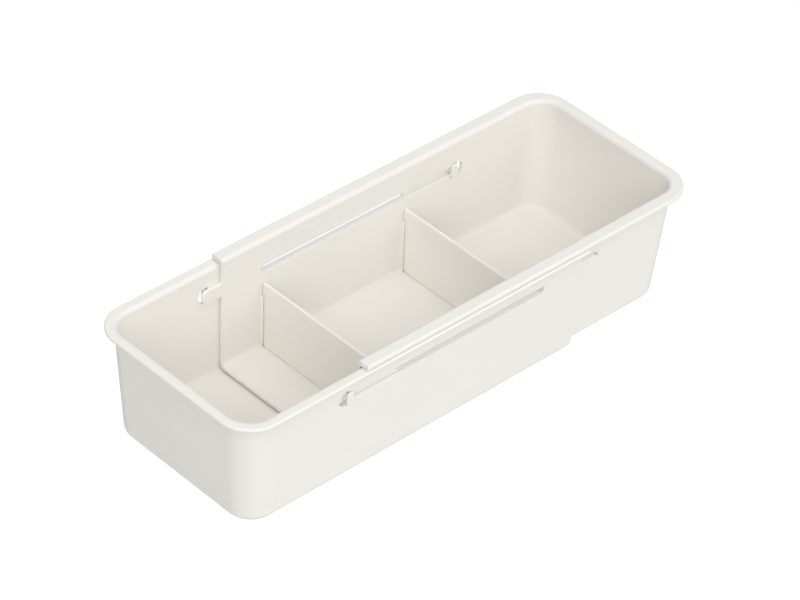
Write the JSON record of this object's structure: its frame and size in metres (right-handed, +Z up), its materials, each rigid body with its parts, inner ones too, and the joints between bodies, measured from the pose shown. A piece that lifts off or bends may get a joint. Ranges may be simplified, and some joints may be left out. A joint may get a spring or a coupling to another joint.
{
  "type": "extending drawer organizer insert",
  "caption": "Extending drawer organizer insert: one open-ended tray slides inside another on hooks in long slots, with lift-out dividers standing between guide ribs.",
  "frame": {"origin": "centre of the pushed-together object's footprint, on the surface it stands on", "axes": "+X along the length, from the outer tray's closed end to the inner tray's closed end, the way the inner tray pulls out; +Y across; +Z up"},
  "size_m": [0.2412, 0.09, 0.0552],
  "materials": {
    "outer_tray": "fine matte moulded ivory polypropylene",
    "inner_tray": "fine matte moulded ivory polypropylene",
    "dividers": "fine matte moulded ivory polypropylene"
  },
  "bodies": {
    "outer_tray": {"outer_tray": "outer_tray"},
    "inner_tray": {"inner_tray": "inner_tray"},
    "divider_left": {"divider_left": "dividers"},
    "divider_right": {"divider_right": "dividers"}
  },
  "joints": [
    {"name": "tray_extend", "type": "slide", "parent": "outer_tray", "child": "inner_tray", "axis": [1, 0, 0], "range_m": [-0.0015, 0.1018]},
    {"name": "divider_left_lift", "type": "slide", "parent": "inner_tray", "child": "divider_left", "axis": [0, 0, 1], "range_m": [0, 0.056]},
    {"name": "divider_right_lift", "type": "slide", "parent": "inner_tray", "child": "divider_right", "axis": [0, 0, 1], "range_m": [0, 0.056]}
  ]
}
